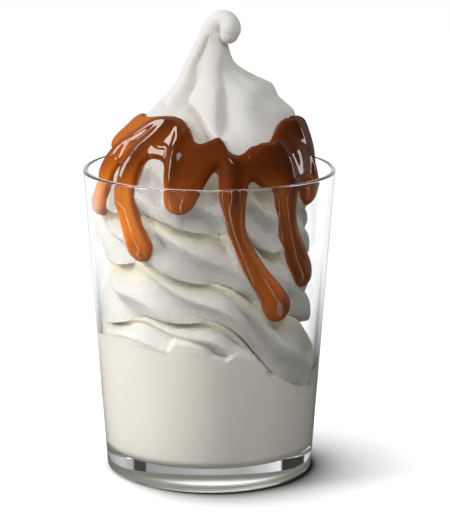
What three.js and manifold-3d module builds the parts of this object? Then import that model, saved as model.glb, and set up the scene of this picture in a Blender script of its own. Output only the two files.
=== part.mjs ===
// An ice cream sundae in a clear tumbler. Soft serve is piped in a leaning coil of ribbed rope and
// drawn up to a curled peak, and caramel sauce is poured round the foot of the peak, so that it
// coats the shoulder and runs down over the coil in drips.
//
// Millimetres, +Z up, with the origin at the centre of the tumbler's foot. The front faces -Y.
// Angles go round the Z axis in degrees, from the front (0) towards the right-hand side, +X (90).
import * as THREE from "three";
import { mergeVertices } from "three/addons/utils/BufferGeometryUtils.js";
import Module from "manifold-3d";

const { degToRad, lerp, smoothstep } = THREE.MathUtils;
const TURN = 360;

// ---- Driving dimensions ----

const GAP = 0.3; // clearance between touching pieces

const TUMBLER = {
  height: 102.5,
  rimRadius: 42, // outer radius at the top
  footRadius: 34.5, // outer radius where the straight wall's line meets the table
  rimWall: 1.6,
  footWall: 2.2,
  floor: 8, // thickness of the solid base
  footCorner: 3, // rounding between foot and wall
  floorCorner: 3, // rounding inside, between floor and wall
  ringRadius: 27, // inner edge of the flat ring that it stands on
  hollow: 1.1, // how far the underside is hollowed within that ring
  hollowEdge: 4, // width of the slope from the ring up to the hollow
  columns: 48,
  footSteps: 4,
  rimSteps: 4,
  floorSteps: 3,
};

// Outermost radius of the soft serve at each height, before creases and ribs are cut in.
const ENVELOPE = [
  [54, 35.4], [74, 34.9], [86, 35.2], [92, 35.4], [98, 35.2], [104, 34.4], [110, 32.4], [113, 29.9],
  [116.5, 26.7], [120, 24.7], [123, 22.4], [126.6, 17.7], [130, 16.2], [133, 12.1], [137, 8.5],
  [140, 7.2], [143, 6], [147, 4.4],
];
// Sideways lean of the pile's own axis at each height.
const LEAN = [
  [30, -0.4], [60, -0.8], [78, -1], [88, -2], [96, -1.4], [104, -0.3], [110, 0.9], [113, 1.9],
  [116.5, 2.6], [120, 2.3], [123, 3.2], [126.6, 4.4], [130, 3.8], [133, 2], [137, 0.2], [142, 0.6],
  [147, 0.9],
];
// Slow unevenness, so that no two turns are quite alike, in waves round the pile.
const UNEVEN = {
  waves: [
    { depth: 0.35, count: 3, climb: 0.11 }, // climb in radians for each millimetre of height
    { depth: 0.25, count: 5, climb: -0.2 },
  ],
  full: 30, // where the pile is slimmer than this radius, it is less uneven
};

// One ribbed rope, wound into a coil. The crease between its turns winds down from the top through
// these [angle, height] pairs: it hardly falls on the left and plunges on the right of the front.
const CREASE = [
  [-440, 114], [-360, 103], [-270, 92], [-180, 93], [-90, 93], [-35, 90.5], [-10, 89.3], [14, 84.7],
  [50, 78.6], [90, 74.5], [180, 74], [270, 72.2], [310, 74.8], [334, 73.7], [354, 71.4],
  [379, 66.4], [400, 59.5], [450, 50.9], [540, 50.5], [630, 52.2], [675, 56], [706, 58.5],
  [722, 57.2], [739, 52.4], [763, 36.6], [810, 27], [900, 30], [1000, 44.5], [1080, 46.5],
  [1120, 36], [1170, 10], [1260, 6], [1440, 0],
];
const COIL = {
  creaseDepth: 4.2,
  roundness: 3, // how abruptly the rope's face turns in at a crease
  sag: 0.85, // under 1, each turn bulges low and overhangs the crease below it
  ribs: 1.5, // ribs across the face of one turn
  ribTwist: 7.05, // ribs that pass over the face in each turn
  ribStart: 0.78, // share of a rib at which the front begins
  ribDepth: 3,
};
// Heights below which the soft serve is pressed out against the tumbler, as [angle, height].
const PRESS = [
  [-180, 47], [-90, 49], [-45, 52.4], [0, 51.2], [28, 46.5], [57, 34], [72, 37], [90, 43.8],
  [135, 48], [180, 47],
];
const PRESSED = {
  slope: 0.5, // how much the radius grows for each millimetre below that height
  fade: [2, 12], // creases and ribs die out over these depths below it
};

// Ribs of the peak as [angle at the top, angle at the foot]: they are drawn round as they rise.
const PEAK_RIBS = [
  [-160, -158], [-128, -112], [-108, -62], [-84, -14], [-8, 12], [24, 27], [60, 46], [104, 88],
  [142, 128], [176, 166],
];
const PEAK = {
  ribsFrom: [97, 113], // the coil's ribs give way to the peak's between these heights
  drawn: [114, 129], // the ribs swing from their foot to their top angle between these
  turned: [134, 147], // and turn a little further between these
  turn: 20,
  smoothed: [134, 147], // the grooves fade out towards the curl
  grooveDepth: 0.5, // depth of a groove of the usual width,
  ribShare: 0.14, // and what is added to it for each millimetre of radius
  usualWidth: 40,
  widest: 1.6, // wider grooves are deeper, up to this many times
  skew: 0.7, // under 1, each rib is steep on its right and slow on its left
  sharpness: 0.7, // under 1, the ribs' crests are sharper than the grooves
};

// The curl at the tip: points that it follows, with its radius at each.
const CURL = [
  { at: [1, 0.6, 147], radius: 4.6 },
  { at: [1.4, 0.6, 149.3], radius: 3.3 },
  { at: [2.7, 0, 151.4], radius: 2.5 },
  { at: [5, -1.6, 152.4], radius: 2.3 },
  { at: [7.1, -3.2, 151.1], radius: 2.8 },
  { at: [7.3, -4.2, 148.5], radius: 3.3 },
  { at: [6.6, -4.6, 146.4], radius: 2.9 },
];

const SERVE = {
  columns: 56,
  row: 2.6, // height of a row of facets
  fineFrom: 28, // below this height the pressed soft serve takes tall rows
  tallRow: 6.5,
  corner: [0, 0.35, 1], // rows that follow the tumbler's inner corner, as shares of its height
  overCorner: 4, // height of the first tall row
  curlColumns: 14,
  curlRings: 10,
  curlEnd: [0.86, 0.5], // sizes of the rings that round off the curl's end
};

// Sauce: a coat between an upper and a lower edge, from which the drips run down.
const SAUCE = {
  depth: 2, // thickness of the coat
  edge: 4, // how abruptly the coat's face turns in at its edges
  inner: [0.04, 0.5, 0.96], // points up the coat's inner side, as shares of its height
  outer: [1, 0.95, 0.82, 0.62, 0.42, 0.22, 0.05, 0], // and down its outer side
  dripDepth: 2.7, // thickness of a drip that is dripWidth wide to either side
  dripWidth: 4,
  bridging: 0.4, // how far a drip spans the creases and grooves that it crosses
  sunk: 1.4, // how far the blank that is cut to shape is let into the soft serve
  columns: 60,
  dripStep: 4.8,
  dripSides: 7,
  root: 0.5, // size of a drip where it grows out of the coat
  taper: 7, // height over which it grows
  bulb: [0.85, 0.5], // sizes of the rings that round off a drip's end
};
// Upper edge of the coat, as [angle, height]. Lobes of the peak push it down.
const COAT_TOP = [
  [-180, 115.5], [-160, 117.8], [-140, 113.5], [-122, 118], [-106, 116.6], [-92, 120],
  [-72, 120.3], [-54, 121.4], [-41, 121.6], [-30, 120.6], [-21.4, 117.4], [-16, 115],
  [-10, 114.2], [-4, 115.2], [1, 116], [6.3, 113], [10.5, 111.6], [14.7, 111], [18.5, 111.6],
  [22, 112.9], [28.9, 114.5], [36, 114.8], [40, 116.1], [46, 118], [58, 120.3], [70, 120.2],
  [88, 119.6], [105, 117], [120, 114], [135, 118], [150, 113.8], [165, 117], [180, 115.5],
];
// Lower edge of the coat, as [angle, height].
const COAT_FOOT = [
  [-180, 104], [-120, 107], [-64, 109], [-35, 108], [-12, 103], [3, 106.5], [14, 102], [24, 102],
  [32, 99.8], [44, 99.2], [60, 98.6], [78, 98], [92, 101], [130, 105], [180, 104],
];
// Drips that run down the front, each a line of [angle, height, half-width].
const FRONT_DRIPS = [
  [[-70, 111, 4.6], [-75, 103, 4.2], [-76, 96, 4], [-74, 91.5, 3.4]],
  [[-52, 112, 5.2], [-51, 104, 4.2], [-49, 97, 4], [-45, 90.5, 4.3], [-41, 85, 4.6], [-38, 81, 5]],
  [[-12, 110, 9], [-13, 103, 6.6], [-13.5, 98.6, 5.4]],
  [[14, 107.5, 5.6], [14.5, 100, 4.6], [16.5, 92.8, 3.4], [18.5, 86.8, 2.8], [22, 80.6, 3.1],
    [28, 72.8, 3.7], [35.5, 66.3, 4.5], [40.5, 61.6, 5.3]],
  [[47, 106, 6], [48.5, 97.3, 5], [50, 90.7, 4], [52, 84, 4.1], [57, 77, 4.6], [63, 71, 5.5]],
  [[75, 107, 7.5], [75, 98, 6.2]],
];
// Drips round the back, spaced evenly, with lengths and widths that step through their ranges.
const BACK_DRIPS = {
  count: 5,
  first: 106,
  step: 32,
  top: 110,
  shortest: 12,
  longest: 38,
  firstLength: 0.35, // share of the range at the first drip, and its step to the next one
  lengthStep: 0.618,
  slimmest: 3.4,
  widest: 4.6,
  widthStep: 0.37,
  lead: 9, // how far round a drip wanders on its way down
  // The line as [share of the fall, share of the lead, share of the width].
  line: [[0, 0, 1.5], [0.35, 0.1, 1], [0.7, 0.5, 0.85], [1, 1, 1.1]],
};
const MERGE = 1e-4; // points closer than this are one

// ---- Shared helpers ----

const wrap = (angle) => angle - TURN * Math.round(angle / TURN);

// A smooth curve through [position, value] pairs, flat beyond both ends.
function through(pairs) {
  const last = pairs.length - 1;
  const slope = (k) => {
    const [x0, y0] = pairs[Math.max(k - 1, 0)];
    const [x1, y1] = pairs[Math.min(k + 1, last)];
    return (y1 - y0) / (x1 - x0);
  };
  return (x) => {
    if (x <= pairs[0][0]) return pairs[0][1];
    if (x >= pairs[last][0]) return pairs[last][1];
    const i = pairs.findIndex(([at]) => at > x) - 1;
    const [x0, y0] = pairs[i];
    const [x1, y1] = pairs[i + 1];
    const span = x1 - x0;
    const t = (x - x0) / span;
    const rise = t * t * (3 - 2 * t);
    return lerp(y0, y1, rise) + span * t * (1 - t) * ((1 - t) * slope(i) - t * slope(i + 1));
  };
}

// Triangles between two closed rings that may have different numbers of points.
function zip(lower, upper) {
  const faces = [];
  let i = 0;
  let j = 0;
  while (i < lower.length || j < upper.length) {
    const a = lower[i % lower.length];
    const b = upper[j % upper.length];
    if ((i + 1) / lower.length <= (j + 1) / upper.length) {
      if (lower.length > 1) faces.push([a, lower[(i + 1) % lower.length], b]);
      i += 1;
    } else {
      if (upper.length > 1) faces.push([a, upper[(j + 1) % upper.length], b]);
      j += 1;
    }
  }
  return faces;
}

// A closed surface through rings, bottom to top. The first and the last close on their centres.
function loft(rings) {
  const centre = (ring) => [
    ring.reduce((sum, p) => sum.add(p), new THREE.Vector3()).divideScalar(ring.length),
  ];
  const closed = [centre(rings[0]), ...rings, centre(rings.at(-1))];
  const faces = closed.slice(1).flatMap((ring, k) => zip(closed[k], ring));
  return new THREE.BufferGeometry().setFromPoints(faces.flat());
}

// ---- Tumbler ----

const wallRadius = (z) => lerp(TUMBLER.footRadius, TUMBLER.rimRadius, z / TUMBLER.height);
const wallThickness = (z) => lerp(TUMBLER.footWall, TUMBLER.rimWall, z / TUMBLER.height);

// Inner radius of the tumbler at a height above its floor, with the rounded corner.
function insideRadius(z) {
  const { floor, floorCorner } = TUMBLER;
  const straight = (at) => wallRadius(at) - wallThickness(at);
  const up = floor + floorCorner - z;
  if (up <= 0) return straight(z);
  return straight(floor + floorCorner) - floorCorner + Math.sqrt(floorCorner ** 2 - up ** 2);
}

// Points of a quarter or half circle in the profile's plane, from one angle to another.
function arc(r, z, radius, from, to, steps) {
  return Array.from({ length: steps + 1 }, (_, i) => {
    const a = degToRad(lerp(from, to, i / steps));
    return new THREE.Vector2(r + radius * Math.cos(a), z + radius * Math.sin(a));
  });
}

function tumbler() {
  const { height, rimWall, floor, footCorner, floorCorner, ringRadius, hollow } = TUMBLER;
  const rim = rimWall / 2;
  const innerCorner = insideRadius(floor + floorCorner) - floorCorner;
  const profile = [
    new THREE.Vector2(0, hollow),
    new THREE.Vector2(ringRadius - TUMBLER.hollowEdge, hollow),
    new THREE.Vector2(ringRadius, 0),
    ...arc(wallRadius(footCorner) - footCorner, footCorner, footCorner, -90, 0, TUMBLER.footSteps),
    ...arc(wallRadius(height - rim) - rim, height - rim, rim, 0, 180, TUMBLER.rimSteps),
    ...arc(innerCorner, floor + floorCorner, floorCorner, 0, -90, TUMBLER.floorSteps),
    new THREE.Vector2(0, floor),
  ];
  return new THREE.LatheGeometry(profile, TUMBLER.columns).rotateX(Math.PI / 2);
}

// ---- Soft serve ----

const envelope = through(ENVELOPE);
const lean = through(LEAN);

const crease = through(CREASE);
const press = through(PRESS);

// How deep the coil is cut at a point: by the crease between two turns, and by the rope's ribs.
function coilCut(angle, z) {
  let upper = angle + TURN * Math.ceil((CREASE[0][0] - angle) / TURN);
  while (crease(upper + TURN) > z) upper += TURN;
  const foot = crease(upper + TURN);
  const across = THREE.MathUtils.clamp((z - foot) / (crease(upper) - foot), 0, 1);
  const edge = Math.abs(2 * across ** COIL.sag - 1) ** COIL.roundness;
  const phase = COIL.ribs * across + COIL.ribTwist * (upper / TURN) - COIL.ribStart;
  const rib = 0.5 - 0.5 * Math.cos(2 * Math.PI * phase);
  return COIL.creaseDepth * edge + COIL.ribDepth * rib * (1 - edge);
}

// How deep the peak is cut between its ribs, as a share of the full depth.
function peakCut(angle, z) {
  const rise = smoothstep(z, ...PEAK.drawn);
  const turn = PEAK.turn * smoothstep(z, ...PEAK.turned);
  const crests = PEAK_RIBS.map(([top, foot]) => lerp(foot, top, rise) + turn);
  crests.push(crests[0] + TURN);
  const from = angle < crests[0] ? angle + TURN : angle;
  const at = from >= crests.at(-1) ? from - TURN : from;
  const k = crests.findIndex((crest) => crest > at) - 1;
  const width = crests[k + 1] - crests[k];
  const across = ((at - crests[k]) / width) ** PEAK.skew;
  const left = 1 - smoothstep(z, ...PEAK.smoothed);
  const groove = Math.sin(Math.PI * across) ** (2 * PEAK.sharpness);
  return groove * Math.min(PEAK.widest, width / PEAK.usualWidth) * left;
}

function uneven(angle, z) {
  const round = degToRad(angle);
  const share = Math.min(1, envelope(z) / UNEVEN.full);
  return UNEVEN.waves.reduce((sum, { depth, count, climb }) => {
    return sum + share * depth * Math.sin(count * round + climb * z);
  }, 0);
}

// How deep the soft serve is cut in from its outermost radius.
function serveCut(angle, z) {
  const below = Math.max(0, press(angle) - z);
  const peak = smoothstep(z, ...PEAK.ribsFrom);
  const coil = coilCut(angle, z) * (1 - smoothstep(below, ...PRESSED.fade));
  const depth = PEAK.grooveDepth + PEAK.ribShare * envelope(z);
  return lerp(coil, peakCut(angle, z) * depth, peak);
}

function serveRadius(angle, z) {
  const pressed = PRESSED.slope * Math.max(0, press(angle) - z);
  return envelope(z) + pressed + uneven(angle, z) - serveCut(angle, z);
}

// Moves a point in where it would come closer to the tumbler's wall than a clearance.
function heldIn(point, clearance = GAP) {
  if (point.z > TUMBLER.height) return point;
  const share = (insideRadius(point.z) - clearance) / Math.hypot(point.x, point.y);
  return share < 1 ? point.multiply(new THREE.Vector3(share, share, 1)) : point;
}

// A point on the soft serve, or proud of it.
function servePoint(angle, z, proud = 0) {
  const a = degToRad(angle);
  const r = serveRadius(angle, z) + proud;
  const point = new THREE.Vector3(lean(z) + r * Math.sin(a), -r * Math.cos(a), z);
  return heldIn(point, GAP - Math.min(proud, GAP));
}

const angles = (columns) =>
  Array.from({ length: columns }, (_, i) => wrap((TURN * i) / columns - TURN / 2));

const serveRing = (z, columns, proud) => angles(columns).map((a) => servePoint(a, z, proud));

// Rings that follow the curl, carried along its line without twist.
function curlRings() {
  const line = new THREE.CatmullRomCurve3(
    CURL.map(({ at }) => new THREE.Vector3(...at)),
    false,
    "catmullrom",
  );
  const radius = through(CURL.map((point, i) => [i / (CURL.length - 1), point.radius]));
  const across = new THREE.Vector3(1, 0, 0);
  const towards = new THREE.Vector3(0, -1, 0);
  let heading = new THREE.Vector3(0, 0, 1);
  const rings = [];
  const ring = (centre, size) =>
    angles(SERVE.curlColumns).map((angle) => {
      const a = degToRad(angle);
      const out = across.clone().multiplyScalar(size * Math.sin(a));
      return out.addScaledVector(towards, size * Math.cos(a)).add(centre);
    });
  for (let i = 1; i <= SERVE.curlRings; i++) {
    const t = i / SERVE.curlRings;
    const next = line.getTangent(t);
    const swing = new THREE.Quaternion().setFromUnitVectors(heading, next);
    across.applyQuaternion(swing);
    towards.applyQuaternion(swing);
    heading = next;
    rings.push(ring(line.getPoint(t), radius(t)));
  }
  for (const share of SERVE.curlEnd) {
    const out = radius(1) * Math.sqrt(1 - share ** 2);
    rings.push(ring(line.getPoint(1).addScaledVector(heading, out), radius(1) * share));
  }
  return rings;
}

const steps = (from, to, step) => {
  const count = Math.round((to - from) / step);
  return Array.from({ length: count }, (_, i) => lerp(from, to, i / count));
};

// Heights of the soft serve's rows: its foot's rounded corner, then tall rows, then fine ones.
function serveHeights() {
  const foot = TUMBLER.floor + GAP;
  const corner = SERVE.corner.map((share) => foot + TUMBLER.floorCorner * share);
  const pressed = steps(corner.at(-1) + SERVE.overCorner, SERVE.fineFrom, SERVE.tallRow);
  return [...corner, ...pressed, ...steps(SERVE.fineFrom, CURL[0].at[2], SERVE.row), CURL[0].at[2]];
}

function softServe() {
  const rings = serveHeights().map((z) => serveRing(z, SERVE.columns));
  return loft([...rings, ...curlRings()]);
}

// ---- Caramel sauce ----

const coatTop = through(COAT_TOP);
const coatFoot = through(COAT_FOOT);

function backDrips() {
  const b = BACK_DRIPS;
  return Array.from({ length: b.count }, (_, i) => {
    const fall = lerp(b.shortest, b.longest, (b.firstLength + i * b.lengthStep) % 1);
    const width = lerp(b.slimmest, b.widest, (i * b.widthStep) % 1);
    const angle = b.first + i * b.step;
    return b.line.map(([down, round, size]) => {
      return [angle + b.lead * round, b.top - fall * down, width * size];
    });
  });
}

// The coat's section at an angle: up its inner side, which is let into the soft serve, and back
// down its rounded outer side.
function coatSection(angle) {
  const top = coatTop(angle);
  const foot = coatFoot(angle);
  const at = (share, proud) => servePoint(angle, lerp(foot, top, share), proud);
  const inner = SAUCE.inner.map((share) => at(share, -SAUCE.sunk));
  const outer = SAUCE.outer.map((share) => {
    const bulge = Math.sqrt(Math.max(0, 1 - Math.abs(2 * share - 1) ** SAUCE.edge));
    return at(share, GAP + SAUCE.depth * bulge);
  });
  return [...inner, ...outer];
}

// A drip: an oval rod that follows its line over the soft serve and ends in a round bulb.
function drip(line) {
  const path = new THREE.CatmullRomCurve3(line.map((point) => new THREE.Vector3(...point)));
  const fall = line[0][1] - line.at(-1)[1];
  const points = path.getPoints(Math.max(3, Math.round(fall / SAUCE.dripStep)));
  const grown = ({ y: z }) => lerp(SAUCE.root, 1, smoothstep(line[0][1] - z, 0, SAUCE.taper));
  const centres = points.map((point) => {
    const bridged = SAUCE.bridging * serveCut(point.x, point.y) * grown(point);
    return servePoint(point.x, point.y, GAP + bridged);
  });
  const ring = (centre, along, angle, width, size) => {
    const a = degToRad(angle);
    const out = new THREE.Vector3(Math.sin(a), -Math.cos(a), 0);
    out.addScaledVector(along, -out.dot(along)).normalize();
    const side = new THREE.Vector3().crossVectors(along, out);
    const depth = SAUCE.dripDepth * Math.sqrt(width / SAUCE.dripWidth) * size;
    return Array.from({ length: SAUCE.dripSides }, (_, i) => {
      const turn = (2 * Math.PI * i) / SAUCE.dripSides;
      const point = centre.clone().addScaledVector(out, depth * Math.cos(turn));
      return heldIn(point.addScaledVector(side, width * size * Math.sin(turn)));
    });
  };
  const heading = (k) =>
    new THREE.Vector3()
      .subVectors(centres[Math.min(k + 1, centres.length - 1)], centres[Math.max(k - 1, 0)])
      .normalize();
  const rings = centres.map((centre, k) => {
    return ring(centre, heading(k), points[k].x, points[k].z, grown(points[k]));
  });
  const last = points.length - 1;
  for (const size of SAUCE.bulb) {
    const reach = points[last].z * Math.sqrt(1 - size ** 2);
    const centre = centres[last].clone().addScaledVector(heading(last), reach);
    rings.push(ring(centre, heading(last), points[last].x, points[last].z, size));
  }
  return loft(rings);
}

const wasm = await Module();
wasm.setup();

function solidOf(geometry) {
  geometry.deleteAttribute("normal");
  geometry.deleteAttribute("uv");
  const merged = mergeVertices(geometry, MERGE);
  const vertProperties = merged.getAttribute("position").array;
  return new wasm.Manifold(
    new wasm.Mesh({ numProp: 3, vertProperties, triVerts: new Uint32Array(merged.index.array) }),
  );
}

function geometryOf(solid) {
  const { vertProperties, triVerts } = solid.getMesh();
  return new THREE.BufferGeometry()
    .setAttribute("position", new THREE.BufferAttribute(vertProperties, 3))
    .setIndex(new THREE.BufferAttribute(triVerts, 1));
}

// The coat and the drips joined, with the soft serve and a gap round it cut away.
function caramelSauce() {
  const sections = angles(SAUCE.columns).map(coatSection);
  const coat = sections.flatMap((section, k) => zip(section, sections[(k + 1) % sections.length]));
  const blank = [...FRONT_DRIPS, ...backDrips()].reduce(
    (joined, line) => joined.add(solidOf(drip(line))),
    solidOf(new THREE.BufferGeometry().setFromPoints(coat.flat())),
  );
  const serve = loft(serveHeights().map((z) => serveRing(z, SERVE.columns, GAP)));
  const pieces = blank.subtract(solidOf(serve)).decompose();
  return geometryOf(pieces.sort((a, b) => b.volume() - a.volume())[0]);
}

// ---- The part ----

function piece(name, geometry, finish) {
  const mesh = new THREE.Mesh(geometry, new THREE.MeshStandardMaterial(finish));
  mesh.name = name;
  return mesh;
}

const sundae = new THREE.Group();
sundae.add(
  piece("tumbler", tumbler(), {
    color: 0xeef3f4,
    roughness: 0.03,
    metalness: 0,
    transparent: true,
    opacity: 0.3,
  }),
  piece("soft_serve", softServe(), { color: 0xf4f0e8, roughness: 0.55, metalness: 0 }),
  piece("caramel_sauce", caramelSauce(), { color: 0x8a3f14, roughness: 0.12, metalness: 0 }),
);

export default sundae;
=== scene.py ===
"""An ice cream sundae in a clear tumbler: soft serve piped in a leaning coil of ribbed rope and
drawn up to a curled peak, with caramel sauce poured round the foot of the peak.

Lengths in the shape functions are millimetres, and each mesh is made in metres. Angles go round the
Z axis in degrees, from the front (-Y) towards the right-hand side (+X). The values of the studio,
at the end of the driving values, are in metres."""

import math

import bpy
import numpy as np
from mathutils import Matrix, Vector


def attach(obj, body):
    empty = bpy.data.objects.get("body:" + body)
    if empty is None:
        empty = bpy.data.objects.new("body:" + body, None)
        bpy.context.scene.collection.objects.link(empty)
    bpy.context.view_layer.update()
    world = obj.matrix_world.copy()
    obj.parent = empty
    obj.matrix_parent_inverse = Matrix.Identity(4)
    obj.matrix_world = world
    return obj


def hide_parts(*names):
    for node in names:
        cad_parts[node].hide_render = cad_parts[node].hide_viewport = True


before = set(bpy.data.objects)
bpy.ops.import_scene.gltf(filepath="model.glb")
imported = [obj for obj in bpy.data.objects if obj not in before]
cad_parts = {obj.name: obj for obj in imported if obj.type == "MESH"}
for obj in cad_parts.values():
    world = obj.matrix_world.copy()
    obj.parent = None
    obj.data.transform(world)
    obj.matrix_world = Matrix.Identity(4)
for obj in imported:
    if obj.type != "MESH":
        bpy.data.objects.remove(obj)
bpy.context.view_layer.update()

MM = 0.001
TURN = 360.0

# ---- Driving dimensions of the tumbler ----

HEIGHT = 102.5
RIM_RADIUS = 42.0
FOOT_RADIUS = 34.5
RIM_WALL = 1.6
FOOT_WALL = 2.2
FLOOR = 8.0
FOOT_CORNER = 1.6
FLOOR_CORNER = 3.0
RING_RADIUS = 27.0
HOLLOW = 1.1
# The edge of the hollow under the foot: distance out from the ring, and share of its depth.
HOLLOW_EDGE = [(-6, 1.0), (-3, 0.8), (-1, 0.25), (0, 0.0)]
# Height left free between a straight wall and the foot's corner, and the other rounds.
WALL_GAPS = (0.3, 0.5)
# Share of a straight wall from each end to the point that keeps that end flat.
WALL_END = 0.006
# Share of the inside floor's radius out to the ring that keeps it flat.
FLOOR_FLAT = 0.9
CORNER_STEPS = 12
RIM_STEPS = 16
TUMBLER_COLUMNS = 400
WELD = 1e-6

# ---- Driving dimensions of the soft serve ----

# Radius of the whole mass before its creases and ribs, by height.
ENVELOPE = [
    (54, 35.4), (74, 34.9), (86, 35.2), (92, 35.4), (98, 35.2), (104, 34.4), (110, 32.2),
    (116, 27.6), (122, 22.4), (127, 18.2), (130, 15.8), (133, 12.3), (137, 8.7), (140, 7.2),
    (143, 6), (147, 4.3),
]
# How far its axis lies to the right, by height.
LEAN = [
    (30, -0.4), (60, -0.8), (78, -1), (88, -2), (96, -1.4), (104, -0.3), (110, 0.9), (116, 2.4),
    (122, 3.3), (127, 4.2), (130, 4), (133, 2.2), (137, 0.3), (142, 0.6), (147, 0.9),
]
# Height of the crease between the turns of the rope, by angle unwound from the top down.
CREASE = [
    (-440, 114), (-360, 103), (-270, 92), (-180, 93), (-90, 93), (-35, 90.5), (-10, 89.3),
    (14, 84.7), (50, 78.6), (90, 74.5), (180, 74), (270, 72.2), (310, 74.8), (334, 73.7),
    (354, 71.4), (379, 66.4), (400, 59.5), (450, 50.9), (540, 50.5), (630, 52.2), (675, 56),
    (706, 58.5), (722, 57.2), (739, 52.4), (763, 36.6), (810, 27), (900, 30), (1000, 44.5),
    (1080, 46.5), (1120, 36), (1170, 10), (1260, 6), (1440, 0),
]
TURNS_OF_ROPE = 5
# The rope's face: the depth of its creases, how full it is between them, how low it is widest
# (1 is the middle), and how far its lower edge hangs down below each rib.
CREASE_DEPTH = 4.6
ROUNDNESS = 3.0
SAG = 0.68
SCALLOP = 0.9
# The ribs: how many cross the face on the way up, and how many pass in each turn of the rope.
RIBS = 1.5
RIB_TWIST = 7.05
RIB_START = 0.78
RIB_DEPTH = 4.3
# Angles between which the ribs get shallower to the right, and the share of their depth left.
RIBS_RIGHT = (35, 75, 0.55)
# The drooping lip of each turn: its fall, its place and width as shares of the rope's face, and
# the distances below the PRESS line over which it fades.
LIP = 2.1
LIP_AT = 0.12
LIP_WIDTH = 0.1
LIP_FADE = (0, 6)
# Distances in from the sauce's outline between which the coil goes under the sauce, and how far
# its creases are filled there.
UNDER_SAUCE = (-3.0, 0.0)
FILLED = 0.75
# Height below which the coil is pressed flatter, by angle.
PRESS = [
    (-180, 47), (-90, 49), (-45, 52.4), (0, 51.2), (28, 46.5), (57, 34), (72, 37), (90, 43.8),
    (135, 48), (180, 47),
]
# Height of the edge of what touches the glass, by angle.
CONTACT = [
    (-180, 44), (-120, 44.5), (-90, 46), (-75, 48), (-60, 49.5), (-45, 49.7), (-30, 48.6),
    (-21, 47), (-18.5, 50.2), (-10, 50.6), (0, 48.6), (9.5, 45.2), (12, 47.4), (18, 47),
    (28, 43.5), (34.5, 38), (37, 39.7), (48, 36), (55, 30.5), (66, 29), (78, 38), (90, 41),
    (135, 45), (180, 44),
]
CONTACT_SLOPE = 2.2
CONTACT_BLEND = 0.8
PRESS_SLOPE = 0.5
PRESS_FADE = (2, 12)
# Slow waves over the whole mass, each with its depth, its count round and its twist for each
# millimetre up, and the radius from which they have that depth.
WAVES = [(0.35, 3, 0.11), (0.25, 5, -0.2)]
WAVES_FULL = 30
# Each rib of the peak, by its angle at the top and at the foot.
PEAK_RIBS = [
    (-160, -158), (-128, -112), (-108, -62), (-84, -14), (-8, 12), (24, 27), (60, 46), (104, 88),
    (142, 128), (176, 166),
]
# Heights between which the coil gives way to the peak, the ribs run from foot to top, they turn
# on, and they die out.
PEAK_FROM = (97, 113)
PEAK_DRAWN = (114, 129)
PEAK_TURNED = (134, 147)
PEAK_SMOOTHED = (134, 147)
PEAK_TURN = 20.0
# Depth of a groove of the plain width, as a length and a share of the radius, that width in
# degrees, and the factor for the widest grooves.
PEAK_DEPTH = 0.5
PEAK_SHARE = 0.14
PEAK_RIB_WIDTH = 40
PEAK_WIDEST = 1.6
# How far a groove leans to one side (1 is even), and how sharp the ribs are beside it.
PEAK_SKEW = 0.7
PEAK_SHARPNESS = 0.7
# Angles between which the front is left nearly smooth, how far they blur, and the share left.
PEAK_FRONT = (-100, 75)
PEAK_FRONT_BLUR = 15
PEAK_FRONT_SHARE = 0.06
# Folds drawn on the peak, each a line of (angle, height), a depth as a share of the radius, how
# far it fades on the right of the line, going down, and on the left, and how much painted shade
# it puts in the colour.
FOLDS = [
    ([(-4, 152), (-14, 147), (-26, 143), (-42, 138), (-55, 133), (-60, 128.5), (-53, 125),
      (-42, 122)], 0.34, 5.0, 1.8, 0.6),
    ([(52, 151), (48, 141), (42, 137.4), (23, 135), (10, 132), (2.5, 129), (2, 126), (3, 123),
      (4.5, 120), (4, 117), (3, 112)], 0.17, 7.5, 1.8, 0.0),
    ([(-62, 127.5), (-47, 125.2), (-27, 122.5), (-16, 119.6), (-9, 116.8), (-3, 114), (2, 111)],
     0.22, 1.4, 4.0, 0.8),
    ([(-100, 125), (-66, 123.2), (-50, 121.5), (-36, 119.5), (-22, 115)], 0.09, 0.9, 3.0, 0.4),
    ([(66, 136), (58, 129), (51, 122), (44, 113)], 0.05, 5.0, 4.5, 0.0),
    ([(38, 132.8), (65, 131.8), (90, 131), (128, 129.5)], -0.08, 2.4, 2.4, 0.0),
    ([(38, 123.8), (65, 122.8), (90, 121.8), (128, 120)], -0.085, 3.4, 3.4, 0.0),
    ([(50, 128), (70, 127.2), (92, 126.4), (120, 125)], 0.03, 0.8, 1.6, 0.0),
]
# There are no folds below this height.
FOLDS_FROM = 104
# Share of a fold's length over which each end rises, how far it rounds off beyond its ends, and
# how full its section is.
FOLD_ENDS = 0.25
FOLD_ROUND = 2
FOLD_FULLNESS = 1.6
FOLD_SAMPLES = 240
# The curl that ends the peak, as points (x, y, height) of its line, each with a radius.
CURL = [
    (0.9, 0.6, 147.0, 4.2), (1.8, 0.2, 149.4, 3.6), (3.4, -0.8, 151.0, 3.5),
    (5.3, -2.0, 151.4, 3.3), (6.6, -3.1, 150.2, 3.4), (6.8, -3.6, 148.6, 3.5),
    (6.5, -3.7, 147.2, 3.1),
]
CURL_RINGS = 36
TIP_RINGS = 7
# Step along the curl's line, in points, that gives its direction.
CURL_AHEAD = 0.02
# How far the soft serve reaches into the glass.
REACH = 0.15
SERVE_COLUMNS = 300
SERVE_ROW = 0.45
FINE_FROM = 30.0
FOOT_ROWS = 8
PLAIN_ROWS = 12
PLAIN_GAP = 1.5
# Where painted warm light glows in the shade under a lip: its place and width as shares of the
# rope's face, and the heights above the PRESS line over which it fades.
WARM_AT = 0.96
WARM_WIDTH = 0.18
WARM_FADE = (-1, 4)
# Depths below the CONTACT line over which the surface takes the look of what touches the glass.
PRESSED_FADE = (-0.4, 0.8)

# ---- Driving dimensions of the sauce ----

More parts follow.
